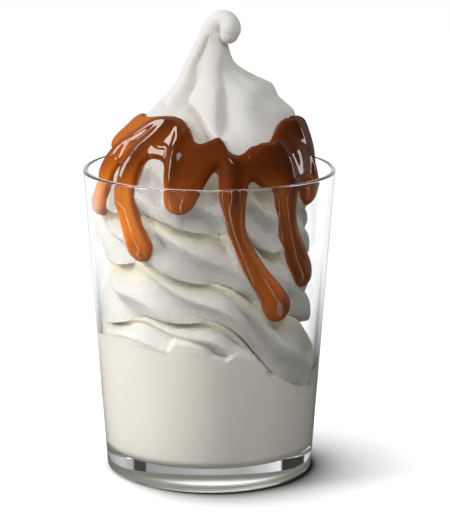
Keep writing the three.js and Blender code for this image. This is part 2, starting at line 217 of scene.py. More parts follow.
# The sauce's thickness, the width of its round edge, how steeply it falls away outside that, and
# how much thicker a drip's end is.
COAT_DEPTH = 2.1
BEAD = 4.0
OUTSIDE_SLOPE = 9.0
END_BULB = 1.0
# What lies under the coat follows the soft serve smoothed by millimetres up and degrees along,
# with its grooves bridged over a height and by a share.
SMOOTHED = (2.2, 2.6)
BRIDGED = (6.0, 0.8)
BRIDGE_BLEND = 1.0
# Distance in from the outline from which it does, and the share of the sauce that stands proud.
BRIDGED_FROM = -1.5
COVER = 0.5
# Depths below the soft serve's surface of the sauce's inner surface and of the cut at its rim.
INNER_DEPTH = 0.9
RIM_DEPTH = 0.35
# Gap left between the sauce and the glass.
GLASS_GAP = 0.05
# How much deeper the sauce's colour is than its thickness, by angle, in the drips and the coat:
# partly the drips' own tone and partly painted light and shade, lighter to the left, where the
# key lamp falls, and darker to the right.
DRIP_SHADE_AND_TONE = [
    (-180, 0), (-120, -1), (-80, -1.8), (-50, -1.5), (-30, -1.2), (-10, -0.6), (14, 1.2),
    (22, 0.3), (38, -0.3), (50, 1.2), (62, 0.4), (74, -1.1), (100, 0.6), (150, 0.5), (180, 0),
]
COAT_SHADE_AND_TONE = [
    (-180, 1), (-120, 0), (-80, -0.6), (-62, -0.3), (-48, 0.6), (-25, 1.6), (0, 2), (20, 1.9),
    (50, 2.8), (100, 3.2), (150, 2), (180, 1),
]
# Heights between which the drips give way to the coat.
COAT_FROM = (98, 109)
# Heights of the sauce between which that colour comes in.
SHADE_AND_TONE_FROM = (0.3, 1.2)
# How much deeper the colour is along the outline, as painted shade at the sauce's edge, over
# which distance, and for each millimetre of a bridged groove.
EDGE_SHADE = (2.2, 0.9)
GROOVE_POOLED = 0.15
# Upper and lower edge of the coat, by angle.
COAT_TOP = [
    (-180, 115.5), (-160, 117.8), (-140, 113.5), (-122, 118), (-106, 116.6), (-92, 120),
    (-72, 120.3), (-54, 121.4), (-41, 121.6), (-30, 120.6), (-21.4, 117.4), (-16, 115),
    (-10, 114.2), (-4, 115.2), (1, 116), (6.3, 113), (10.5, 111.6), (14.7, 111), (18.5, 111.6),
    (22, 112.9), (28.9, 114.5), (36, 114.8), (40, 116.1), (46, 118), (58, 120.3), (70, 120.2),
    (88, 119.6), (105, 117), (120, 114), (135, 118), (150, 113.8), (165, 117), (180, 115.5),
]
COAT_FOOT = [
    (-180, 104), (-120, 107), (-64, 110.4), (-35, 109.8), (3, 109), (24, 104), (32, 100.8),
    (44, 99.8), (60, 99.4), (90, 101), (130, 105), (180, 104),
]
# The drips, each a line of (angle, height, half width).
FRONT_DRIPS = [
    [(-66, 111, 4.6), (-69, 103, 4.4), (-70, 97, 4.3), (-69, 93, 4.2)],
    [(-50, 112, 5.2), (-48, 104, 4.3), (-46, 97, 4), (-42, 90.5, 4), (-38.5, 85, 4.4),
     (-36.5, 81.4, 4.8)],
    [(-12, 111, 9), (-13, 103, 6.6), (-13.5, 98.6, 5.4)],
    [(14, 110, 5.6), (14.5, 100, 4.6), (16.5, 92.8, 3.4), (18.5, 86.8, 2.8), (22, 80.6, 3.1),
     (28, 72.8, 3.7), (35.5, 66.3, 4.5), (40.5, 61.6, 5.3)],
    [(47, 106, 6), (48.5, 97.3, 5), (50, 90.7, 4), (52, 84, 4.1), (57, 77, 4.6), (63, 71, 5.5)],
    [(73, 107, 7.5), (73, 98, 6.2)],
]
# The drips at the back: their number, the first one's angle and the step to the next, where they
# start, their shortest and longest fall, and their least half width and what is added to it.
BACK_DRIPS = 5
BACK_ANGLES = (106, 32)
BACK_TOP = 110
BACK_FALL = (12, 38)
BACK_WIDTH = (3.4, 1.2)
# Start and step of the shares that spread their falls and their widths.
FALL_SPREAD = (0.35, 0.618)
WIDTH_SPREAD = (0, 0.37)
# A back drip's line: share of its fall, degrees on, and its half width by a factor and a length.
BACK_LINE = [(0, 0, 1, 2), (0.35, 0.9, 1, 0), (0.7, 4.5, 0.85, 0), (1, 9, 1.1, 0)]
DRIP_BLEND = 3.0
DRIP_SAMPLES = 60
# Thicker streams in the coat, each a line of (angle, height) with a half width and a height.
STREAMS = [
    ([(-48, 120), (-58, 115), (-67, 109), (-73, 103)], 2.4, 1.0),
    ([(-38, 121), (-44, 115), (-49, 109), (-51, 102), (-49, 96)], 2.6, 1.1),
    ([(-26, 119), (-23, 113), (-21, 107), (-20, 100)], 2.2, 0.9),
    ([(8, 112), (13, 106), (14.5, 99)], 2.4, 0.8),
    ([(36, 114), (43, 108), (48, 101)], 2.6, 1.0),
    ([(64, 119), (70, 112), (73, 105), (73, 100)], 2.8, 1.1),
]
STREAM_SAMPLES = 40
# Distances in from the sauce's outline between which the streams rise.
STREAM_FADE = (0.5, 3.0)
# Angle from the middle of a drip or stream beyond which it isn't felt.
LINE_SIDE = 40
SAUCE_COLUMNS = 640
# Heights of the sauce's lowest and highest rows, and the step between rows.
SAUCE_ROWS = (52.0, 126.0, 0.4)

# ---- Colours and grain of the finishes ----

# The soft serve: two shades that mottle the coil, the peak, painted lighter than the coil as
# painted light, what touches the glass, and the painted warm light in the shade under a lip and
# the painted shadow in the folds, with the share of each that is mixed in.
COIL_COLOURS = ((0.78, 0.748, 0.695), (0.835, 0.803, 0.75))
PEAK_COLOUR = (0.885, 0.868, 0.82)
PRESSED_COLOUR = (0.875, 0.842, 0.77)
WARM_COLOUR = (0.86, 0.77, 0.56)
WARM_SHARE = 0.8
FOLD_SHADE_COLOUR = (0.45, 0.42, 0.36)
FOLD_SHADE_SHARE = 0.45
# Heights, in metres, between which the coil's finish gives way to the peak's.
PEAK_FINISH_FROM = (0.1, 0.118)
# Mottling and grain by the noise's scale, and how much the coarse grain counts beside the fine.
MOTTLE_SCALE = 90.0
FINE_SCALE = 2000.0
COARSE_SCALE = 800.0
COARSE_SHARE = 0.25
# How much of the grain the peak loses, and what a fold gives back.
PEAK_SMOOTH = 0.78
FOLD_ROUGH = 0.25
# The sauce, from its thinnest to a depth of SAUCE_DEEP, and how far a slow swirl shifts that.
SAUCE_COLOURS = [
    (0.0, (0.36, 0.11, 0.012)), (0.06, (0.7, 0.25, 0.02)), (0.16, (0.64, 0.16, 0.009)),
    (0.3, (0.49, 0.115, 0.01)), (0.5, (0.255, 0.053, 0.006)), (0.75, (0.12, 0.024, 0.003)),
    (1.0, (0.072, 0.016, 0.003)),
]
SAUCE_DEEP = 6.0
SWIRL_SCALE = 60.0
SWIRL = 0.12
GLOSS_SHARE = 0.035

# ---- Studio ----

FLOOR_SIDE = 20.0
FLOOR_GREY = 0.9
# How far the studio reaches for what mirrors it, on the floor and, by direction, in the air.
FLOOR_REACH = 0.3
AIR_REACH = 1.0
WORLD_LIGHT = 0.23
BACKLIGHT = 1.15
# Brightness across the studio: shares of its reach where a change starts and ends, then the
# levels there, from left to right in a first mirror and in further ones, and from front to back.
MIRRORED = (-1, 0.3, 0.16, 0.05)
CARRIED = (-0.5, 0.5, 1.0, 0.75)
BEHIND = (0.3, 0.8, 0.0, 1.0)
# Brightness of the air low behind the glass base, by direction from left to right.
WINDOW_SIDE = 0.95
BASE_WINDOW = [
    (-0.95, 0.95), (-0.83, 0.9), (-0.81, 0.02), (-0.53, 0.03), (-0.51, 0.9), (-0.38, 0.62),
    (-0.2, 0.4), (-0.03, 0.46), (0.03, 0.46), (0.2, 0.38), (0.43, 0.33), (0.44, 0.05),
    (0.55, 0.05), (0.565, 0.4), (0.7, 0.65), (0.95, 0.5),
]
WINDOW_TOP = 0.08
# The floor's glow under the glass, and the radii over which it ends.
UNDER_GLASS = 0.7
UNDER_EDGE = (0.030, 0.034)
# Shade round the foot: the radius where it starts, the lengths over which its wide and its thin
# part fade, and how dark each is.
FOOT_SHADE = 0.0335
SHADE_LENGTHS = (0.0085, 0.0014)
SHADE_DARK = (0.95, 0.6)
# The way that the wide part falls, to the right and to the front, and how it fades off that way.
SHADE_WAY = (0.77, 0.64)
SHADE_SPREAD = (-0.35, 0.9)
DARKEST = 0.03
# Bright strips of the table that only the sauce behind the glass mirrors, each a bearing from the
# front, half its width in degrees and its brightness, and the share of it that is evenly bright.
STRIPS = [(-64, 5, 6.5), (-110, 5, 4.8), (-12, 4, 6.0), (70, 4, 2.5)]
STRIP_PLAIN = 0.7
# Lamps, each by place, aim, size and power. UNDER lights the soft serve through the glass base.
KEY = ((-0.62, -0.19, 0.42), (0, 0, 0.08), (0.25, 0.3), 3.4)
FILL = ((0.16, -0.42, 0.6), (0, 0, 0.1), (0.25, 0.25), 1.0)
UNDER = ((0.003, 0, 0.0005), (0.003, 0, 0.1), (0.018, 0.018), 0.0045)
UNDER_COLOUR = (0.92, 0.97, 1.0)
# The sun that lights the floor alone, by place, aim and power, and its width in degrees.
FLOOR_SUN = ((-0.16, 0.1, 1.0), (0, 0, 0), 2.7)
FLOOR_SUN_ANGLE = 35
# Lamps that only the sauce mirrors, each by name, place, size and power, and what they aim at.
GLINTS = [
    ("shoulder_glint", (-0.41, 0.26, 0.62), (0.24, 0.2), 2.4),
    ("tall_glint", (-0.6, 0.02, 0.45), (0.07, 0.42), 1.35),
    ("edge_glint", (0.6, 0.3, 0.12), (0.05, 0.3), 0.55),
    ("table_glint", (-0.16, -0.14, 0.003), (0.04, 0.1), 0.19),
    ("side_glint", (-0.28, 0.1, 0.003), (0.05, 0.16), 0.4),
]
GLINT_AIM = (0, 0, 0.115)
# The camera: its lens and sensor in millimetres, where it looks, and how far up, in degrees, and
# how far off it stands from there.
LENS = 165.46
SENSOR = 36.0
SHIFT = 0.0301
CLIP = (0.01, 20.0)
CAMERA_AIM = (0, 0, 0.0706)
CAMERA_RISE = 12.54
CAMERA_DISTANCE = 0.8026
LIGHT_BOUNCES = 32


# ---- Shape helpers ----


def through(pairs):
    """A smooth curve through (position, value) pairs, flat beyond both ends."""
    at, value = np.array(pairs, float).T
    here = np.arange(len(at))
    before = np.maximum(here - 1, 0)
    after = np.minimum(here + 1, len(at) - 1)
    slope = (value[after] - value[before]) / (at[after] - at[before])

    def curve(x):
        x = np.clip(x, at[0], at[-1])
        i = np.clip(np.searchsorted(at, x, side="right") - 1, 0, len(at) - 2)
        span = at[i + 1] - at[i]
        t = (x - at[i]) / span
        rise = t * t * (3 - 2 * t)
        bend = (1 - t) * slope[i] - t * slope[i + 1]
        return value[i] + (value[i + 1] - value[i]) * rise + span * t * (1 - t) * bend

    return curve


def smoothstep(x, low, high):
    t = np.clip((x - low) / (high - low), 0, 1)
    return t * t * (3 - 2 * t)


def lerp(a, b, t):
    return a + (b - a) * t


def wrapped(angle):
    return angle - TURN * np.round(angle / TURN)


def smooth_max(a, b, blend):
    h = np.clip(0.5 + 0.5 * (a - b) / blend, 0, 1)
    return lerp(b, a, h) + blend * h * (1 - h)


def blurred(field, up, along):
    """A field of rows and of columns that close on themselves, smoothed by cells up and along."""
    for axis, cells in ((0, up), (1, along)):
        reach = int(3 * cells)
        offsets = np.arange(-reach, reach + 1)
        weights = np.exp(-0.5 * (offsets / cells) ** 2)
        mode = "edge" if axis == 0 else "wrap"
        margin = [(reach, reach), (0, 0)] if axis == 0 else [(0, 0), (reach, reach)]
        padded = np.pad(field, margin, mode=mode)
        size = field.shape[axis]
        field = sum(w * np.take(padded, np.arange(size) + k, axis=axis)
                    for k, w in enumerate(weights / weights.sum()))
    return field


envelope = through(ENVELOPE)
lean = through(LEAN)
crease = through(CREASE)
press = through(PRESS)
contact = through(CONTACT)
coat_top = through(COAT_TOP)
coat_foot = through(COAT_FOOT)
drip_shade_and_tone = through(DRIP_SHADE_AND_TONE)
coat_shade_and_tone = through(COAT_SHADE_AND_TONE)


# ---- Meshes ----


def placed(name, data):
    """A new object in the scene, at the origin."""
    made = bpy.data.objects.new(name, data)
    bpy.context.scene.collection.objects.link(made)
    return made


def quads_at(k, i, columns):
    """Quads above rows k and beside columns i of a grid whose columns close on themselves."""
    j = (i + 1) % columns
    return np.stack([k * columns + i, k * columns + j, (k + 1) * columns + j,
                     (k + 1) * columns + i], axis=-1).reshape(-1, 4)


def mesh_piece(name, points, faces, values):
    """A mesh object from points in millimetres, with named values on its points."""
    mesh = bpy.data.meshes.new(name)
    mesh.from_pydata((np.asarray(points) * MM).tolist(), [], [list(map(int, f)) for f in faces])
    for key, value in values.items():
        attribute = mesh.attributes.new(key, "FLOAT", "POINT")
        attribute.data.foreach_set("value", np.asarray(value, np.float32))
    mesh.polygons.foreach_set("use_smooth", [True] * len(mesh.polygons))
    mesh.update()
    return placed(name, mesh)


def signed_volume(mesh):
    mesh.calc_loop_triangles()
    co = np.array([v.co for v in mesh.vertices])
    tri = np.array([t.vertices for t in mesh.loop_triangles])
    a, b, c = co[tri[:, 0]], co[tri[:, 1]], co[tri[:, 2]]
    return float(np.einsum("ij,ij->i", a, np.cross(b, c)).sum() / 6)


def facing_out(piece):
    if signed_volume(piece.data) < 0:
        piece.data.flip_normals()
    return piece


# ---- Tumbler ----


def wall_radius(z):
    return lerp(FOOT_RADIUS, RIM_RADIUS, z / HEIGHT)


def inside_radius(z):
    """Inner radius of the tumbler at a height above its floor, with the rounded corner."""
    straight = wall_radius(z) - lerp(FOOT_WALL, RIM_WALL, z / HEIGHT)
    corner = FLOOR + FLOOR_CORNER
    at_corner = wall_radius(corner) - lerp(FOOT_WALL, RIM_WALL, corner / HEIGHT)
    up = np.clip(corner - z, 0, FLOOR_CORNER)
    rounded = at_corner - FLOOR_CORNER + np.sqrt(FLOOR_CORNER**2 - up**2)
    return np.where(z < corner, rounded, straight)


def arc(r, z, radius, start, end, steps):
    turn = np.radians(np.linspace(start, end, steps + 1))
    return [(r + radius * math.cos(a), z + radius * math.sin(a)) for a in turn]


def along_wall(radius, z):
    """The two ends of a straight wall, each with a second point close by that keeps it flat."""
    start, end = z
    heights = (start, lerp(start, end, WALL_END), lerp(end, start, WALL_END), end)
    return [(float(radius(np.array(height))), height) for height in heights]


def tumbler_section():
    """Half section of the tumbler, from the axis out under the foot, up, over the rim and in."""
    rim = RIM_WALL / 2
    corner = FLOOR + FLOOR_CORNER
    slope = (RIM_RADIUS - FOOT_RADIUS) / HEIGHT
    inner_slope = slope + (FOOT_WALL - RIM_WALL) / HEIGHT
    lean_out, lean_in = (math.degrees(math.atan(s)) for s in (slope, inner_slope))
    side = math.hypot(1, slope)
    inner = float(inside_radius(np.array(corner))) - FLOOR_CORNER
    foot = FOOT_RADIUS + FOOT_CORNER * (slope - side)
    top = HEIGHT - rim
    rim_centre = FOOT_RADIUS + slope * top - rim * side
    foot_gap, gap = WALL_GAPS
    points = [(0, HOLLOW)]
    points += [(RING_RADIUS + out, HOLLOW * share) for out, share in HOLLOW_EDGE]
    points += arc(foot, FOOT_CORNER, FOOT_CORNER, -90, -lean_out, CORNER_STEPS)
    points += along_wall(wall_radius, (FOOT_CORNER + foot_gap, top - gap))
    points += arc(rim_centre, top, rim, -lean_out, 180 - lean_in, RIM_STEPS)
    points += along_wall(inside_radius, (top - gap, corner + gap))
    points += arc(inner, corner, FLOOR_CORNER, -lean_in, -90, CORNER_STEPS)
    points += [(inner * FLOOR_FLAT, FLOOR), (0, FLOOR)]
    return points


# ---- Soft serve ----


def rope_phase(turns):
    """Where the foot of the rope's face is in the ribs' pattern, after some turns of the rope."""
    return RIB_TWIST * turns - RIB_START


def rope_edge(unwound):
    """Height of the rope's lower edge, which hangs lower below each rib."""
    phase = rope_phase(unwound / TURN - 1)
    return crease(unwound) - SCALLOP * np.cos(2 * np.pi * phase)


def turn_of_rope(angle, z):
    """The unwound angle of the crease above a point, and how far up the rope's face it is."""
    first = CREASE[0][0]
    upper = angle + TURN * np.ceil((first - angle) / TURN)
    for _ in range(TURNS_OF_ROPE):
        upper = np.where(rope_edge(upper + TURN) > z, upper + TURN, upper)
    foot = rope_edge(upper + TURN)
    across = np.clip((z - foot) / np.maximum(rope_edge(upper) - foot, 1), 0, 1)
    return upper, across


def below_press(angle, z):
    return np.maximum(0, press(angle) - z)


def under_sauce(angle, z):
    """1 where the sauce covers a point, and 0 well outside it."""
    return smoothstep(sauce_reach(angle, z)[0], *UNDER_SAUCE)


def coil_cut(angle, z):
    """Depth of the coil's creases and ribs."""
    upper, across = turn_of_rope(angle, z)
    edge = np.abs(2 * across**SAG - 1) ** ROUNDNESS
    phase = RIBS * across + rope_phase(upper / TURN)
    rib = 0.5 - 0.5 * np.cos(2 * np.pi * phase)
    start, end, share = RIBS_RIGHT
    deep = RIB_DEPTH * lerp(1, share, smoothstep(angle, start, end))
    return CREASE_DEPTH * edge + deep * rib * (1 - edge**2)


def peak_cut(angle, z):
    """Depth of the grooves between the peak's ribs, as a share of their plain depth."""
    rise = smoothstep(z, *PEAK_DRAWN)
    turn = PEAK_TURN * smoothstep(z, *PEAK_TURNED)
    crests = [lerp(foot, top, rise) + turn for top, foot in PEAK_RIBS]
    crests.append(crests[0] + TURN)
    at = np.where(angle < crests[0], angle + TURN, angle)
    at = np.where(at >= crests[-1], at - TURN, at)
    cut = np.zeros_like(at)
    for low, high in zip(crests, crests[1:]):
        width = high - low
        across = np.clip((at - low) / width, 0, 1) ** PEAK_SKEW
        groove = np.sin(np.pi * across) ** (2 * PEAK_SHARPNESS)
        inside = (at >= low) & (at < high)
        cut = np.where(inside, groove * np.minimum(PEAK_WIDEST, width / PEAK_RIB_WIDTH), cut)
    return cut * (1 - smoothstep(z, *PEAK_SMOOTHED))


def drawn_line(points, samples):
    """Values at even steps along a smooth line through points."""
    values = np.array(points, float)
    at = np.arange(len(values), dtype=float)
    t = np.linspace(0, len(values) - 1, samples)
    return [through(list(zip(at, column)))(t) for column in values.T]


def from_line(angle, z, line_angle, line_z):
    """Distances round and up to each point from each sample of a line on the envelope."""
    round_off = np.radians(wrapped(angle[:, None] - line_angle)) * envelope(z)[:, None]
    return round_off, z[:, None] - line_z


def beside_line(angle, z, points, samples):
    """Which points are beside a line, their distance from each of its samples, and what else the
    samples give."""
    line_angle, line_z, *more = drawn_line(points, samples)
    near = np.abs(wrapped(angle - line_angle.mean())) < LINE_SIDE
    distance = np.hypot(*from_line(angle[near], z[near], line_angle, line_z))
    return near, distance, *more


def folds(angle, z):
    """Depth of the peak's folds, and how much painted shade darkens the colour in them."""
    shape = np.broadcast(angle, z).shape
    angle, z = (np.broadcast_to(v, shape).ravel() for v in (angle, z))
    total = np.zeros((2, angle.size))
    near = np.nonzero(z > FOLDS_FROM)[0]
    if not len(near):
        return total.reshape(2, *shape)
    r = envelope(z[near])
    for points, share, right, left, painted_shade in FOLDS:
        line_angle, line_z = drawn_line(points, FOLD_SAMPLES)
        ahead_s = np.gradient(np.radians(line_angle)) * envelope(line_z)
        ahead_z = np.gradient(line_z)
        length = np.hypot(ahead_s, ahead_z)
        off_s, off_z = from_line(angle[near], z[near], line_angle, line_z)
        nearest = np.argmin(off_s**2 + off_z**2, axis=1)
        rows = np.arange(len(near))
        off_s, off_z = off_s[rows, nearest], off_z[rows, nearest]
        beside = (-ahead_z[nearest] * off_s + ahead_s[nearest] * off_z) / length[nearest]
        beyond = np.sqrt(np.maximum(off_s**2 + off_z**2 - beside**2, 0))
        along = nearest / (len(line_z) - 1)
        strength = smoothstep(along, 0, FOLD_ENDS) * (1 - smoothstep(along, 1 - FOLD_ENDS, 1))
        strength *= np.exp(-((beyond / FOLD_ROUND) ** 2))
        width = np.where(beside > 0, right, left)
        profile = strength * np.exp(-(np.abs(beside) / width) ** FOLD_FULLNESS)
        total[0, near] += share * r * profile
        # How much painted shade the fold puts in the colour.
        total[1, near] += painted_shade * profile
    return total.reshape(2, *shape)


def waves(angle, z):
    a = np.radians(angle)
    return sum(depth * np.sin(count * a + twist * z) for depth, count, twist in WAVES)


def serve_cut(angle, z):
    """Depth of the creases, ribs, grooves and folds together."""
    flattened = smoothstep(below_press(angle, z), *PRESS_FADE)
    coil = coil_cut(angle, z) * (1 - flattened) * (1 - FILLED * under_sauce(angle, z))
    start, end = (smoothstep(angle, edge - PEAK_FRONT_BLUR, edge + PEAK_FRONT_BLUR)
                  for edge in PEAK_FRONT)
    smoothed = lerp(1, PEAK_FRONT_SHARE, start * (1 - end))
    ribs = peak_cut(angle, z) * (PEAK_DEPTH + PEAK_SHARE * envelope(z)) * smoothed
    return lerp(coil, ribs, smoothstep(z, *PEAK_FROM)) + folds(angle, z)[0]


def serve_radius(angle, z):
    """Radius of the soft serve round its axis, out to where it touches the glass."""
    pressed = PRESS_SLOPE * below_press(angle, z)
    wavy = waves(angle, z) * np.minimum(1, envelope(z) / WAVES_FULL)
    free = envelope(z) + pressed + wavy - serve_cut(angle, z)
    touching = inside_radius(z) + REACH - lean(z) * np.sin(np.radians(angle))
    return smooth_max(free, touching + CONTACT_SLOPE * (contact(angle) - z), CONTACT_BLEND)


def held_in(x, y, z, reach):
    """Holds points back to the tumbler's inner wall, or to a reach into it."""
    limit = inside_radius(z) + reach
    share = np.where(z > HEIGHT, 1.0, np.minimum(1.0, limit / np.maximum(np.hypot(x, y), 1e-9)))
    return x * share, y * share


def lip(angle, z):
    """How far each turn's lower edge droops over the crease below it."""
    _, across = turn_of_rope(angle, z)
    free = 1 - smoothstep(below_press(angle, z), *LIP_FADE)
    coil = 1 - smoothstep(z, *PEAK_FROM)
    clear = 1 - under_sauce(angle, z)
    return LIP * np.exp(-(((across - LIP_AT) / LIP_WIDTH) ** 2)) * free * coil * clear


def serve_points(angle, z):
    r = serve_radius(angle, z)
    a = np.radians(angle)
    x = lean(z) + r * np.sin(a)
    y = -r * np.cos(a)
    x, y = held_in(x, y, z, REACH)
    return np.stack([x, y, z - lip(angle, z)], axis=-1)


def row_heights():
    foot = FLOOR - REACH
    corner = foot + (FLOOR_CORNER + REACH) * (1 - np.cos(np.linspace(0, np.pi / 2, FOOT_ROWS)))
    plain = np.linspace(corner[-1] + PLAIN_GAP, FINE_FROM, PLAIN_ROWS)
    fine = np.arange(FINE_FROM + SERVE_ROW, CURL[0][2], SERVE_ROW)
    return np.concatenate([corner, plain, fine, [CURL[0][2]]])


def curl_rings(angles):
    """Rings that follow the curl's line and round off its end, as (ring, column, xyz)."""
    points = np.array(CURL, float)
    at = np.arange(len(points), dtype=float)
    curves = [through(list(zip(at, points[:, k]))) for k in range(4)]
    t = np.linspace(0, len(points) - 1, CURL_RINGS + 1)[1:]
    centres = np.stack([curve(t) for curve in curves[:3]], axis=-1)
    sizes = curves[3](t)
    ahead = np.stack([curve(t + CURL_AHEAD) - curve(t - CURL_AHEAD) for curve in curves[:3]],
                     axis=-1)
    rings = []
    heading = Vector((0, 0, 1))
    across = Vector((1, 0, 0))
    towards = Vector((0, -1, 0))
    a = np.radians(angles)
    for centre, size, along in zip(centres, sizes, ahead):
        along = Vector(along).normalized()
        swing = heading.rotation_difference(along)
        across.rotate(swing)
        towards.rotate(swing)
        heading = along
        ring = np.outer(np.sin(a), across) + np.outer(np.cos(a), towards)
        rings.append(centre + size * ring)
    for turn in np.linspace(0, np.pi / 2, TIP_RINGS + 2)[1:-1]:
        out = np.array(heading) * sizes[-1] * math.sin(turn)
        rings.append(centres[-1] + out + sizes[-1] * math.cos(turn) * ring)
    return rings


def soft_serve():
    angles = np.linspace(-180, 180, SERVE_COLUMNS, endpoint=False)
    a, z = np.meshgrid(angles, row_heights())
    rings = np.concatenate([serve_points(a, z), np.array(curl_rings(angles))])
    rows, columns = rings.shape[:2]
    points = rings.reshape(-1, 3)
    foot = points[:columns].mean(axis=0)
    tip = points[-columns:].mean(axis=0)
    last = (rows - 1) * columns
    cells = np.meshgrid(np.arange(rows - 1), np.arange(columns), indexing="ij")
    faces = quads_at(*cells, columns).tolist()
    faces += [[rows * columns, (i + 1) % columns, i] for i in range(columns)]
    faces += [[rows * columns + 1, last + i, last + (i + 1) % columns] for i in range(columns)]

    def over_all(field, at_foot=0.0):
        """Values of every point: a field up to the curl, none on the curl, and one at the foot."""
        values = np.zeros(len(points) + 2)
        values[:field.size] = field.ravel()
        values[-2] = at_foot
        return values

    _, across = turn_of_rope(a, z)
    # Painted warm light in the shade under each lip, mixed into the colour.
    warm = np.exp(-(((across - WARM_AT) / WARM_WIDTH) ** 2))
    warm *= (1 - smoothstep(z, *PEAK_FROM)) * (1 - smoothstep(press(a) - z, *WARM_FADE))
    pressed = smoothstep(contact(a) - z, *PRESSED_FADE)
    values = {"warm": over_all(warm), "pressed": over_all(pressed, 1.0),
              "folded": over_all(folds(a, z)[1])}
    return mesh_piece("soft_serve_swirl", np.vstack([points, foot, tip]), faces, values)


# ---- Caramel sauce ----


def back_drips():
    drips = []
    for i in range(BACK_DRIPS):
        fall, wide = ((start + i * step) % 1 for start, step in (FALL_SPREAD, WIDTH_SPREAD))
        angle = BACK_ANGLES[0] + i * BACK_ANGLES[1]
        end = BACK_TOP - lerp(*BACK_FALL, fall)
        width = BACK_WIDTH[0] + BACK_WIDTH[1] * wide
        drips.append([(angle + on, lerp(BACK_TOP, end, share), width * factor + more)
                      for share, on, factor, more in BACK_LINE])
    return drips


def envelope_slope(z):
    """How much the envelope widens over a millimetre of height."""
    return envelope(z + 0.5) - envelope(z - 0.5)


def sauce_reach(angle, z):
    """Distance in from the sauce's outline, along the surface: above 0 inside, below 0 outside.
    Also how much a point belongs to the bulb that ends a drip, from 0 to 1."""
    degree_length = np.radians(1) * envelope(z)

    def edge_slope(edge):
        return (edge(wrapped(angle + 0.5)) - edge(wrapped(angle - 0.5))) / degree_length

    # The shoulder slopes in, so that a millimetre of height there is more along the surface.
    slant = np.hypot(1, envelope_slope(z))
    below_top = (coat_top(angle) - z) * slant / np.hypot(1, edge_slope(coat_top) * slant)
    above_foot = (z - coat_foot(angle)) / np.hypot(1, edge_slope(coat_foot))
    reach = np.minimum(below_top, above_foot)
    bulb = np.zeros_like(reach)
    for drip in FRONT_DRIPS + back_drips():
        near, distance, width = beside_line(angle, z, drip, DRIP_SAMPLES)
        inside = np.minimum((width - distance).max(axis=1), below_top[near])
        reach[near] = smooth_max(reach[near], inside, DRIP_BLEND)
        bulb[near] = np.maximum(bulb[near], np.exp(-(distance[:, -1] / width[-1]) ** 2))
    return reach, bulb


def sauce_height(reach):
    """Height of the sauce, which rises in a round bead and falls away steeply outside."""
    inside = np.clip(reach, 0, BEAD)
    domed = COAT_DEPTH * np.sqrt(inside * (2 * BEAD - inside)) / BEAD
    return np.where(reach > 0, domed, OUTSIDE_SLOPE * reach)


def streams(angle, z):
    """Extra thickness of the streams in the coat."""
    total = np.zeros_like(angle)
    for points, width, proud in STREAMS:
        near, distance = beside_line(angle, z, points, STREAM_SAMPLES)
        total[near] += proud * np.exp(-((distance.min(axis=1) / width) ** 2))
    return total


def drooped(radius, fall, heights):
    """Radii at the given heights of a surface whose points have all dropped by their fall."""
    moved = np.empty_like(radius)
    for i in range(radius.shape[1]):
        fallen = np.maximum.accumulate(heights - fall[:, i])
        moved[:, i] = np.interp(heights, fallen, radius[:, i])
    return moved


def widest(field, cells):
    """The largest value within some rows of each point."""
    padded = np.pad(field, [(cells, cells), (0, 0)], mode="edge")
    return np.max([padded[k:k + len(field)] for k in range(2 * cells + 1)], axis=0)


def without_corners(kept):
    """Fills cells, in four passes, so that no two kept cells touch only at a corner."""
    for _ in range(4):
        right = np.roll(kept, -1, axis=1)
        up = np.zeros_like(kept)
        up[:-1] = kept[1:]
        diagonal = np.roll(up, -1, axis=1)
        rising = kept & diagonal & ~right & ~up
        falling = right & up & ~kept & ~diagonal
        kept = kept | falling
        kept |= np.roll(rising, 1, axis=1)
    return kept


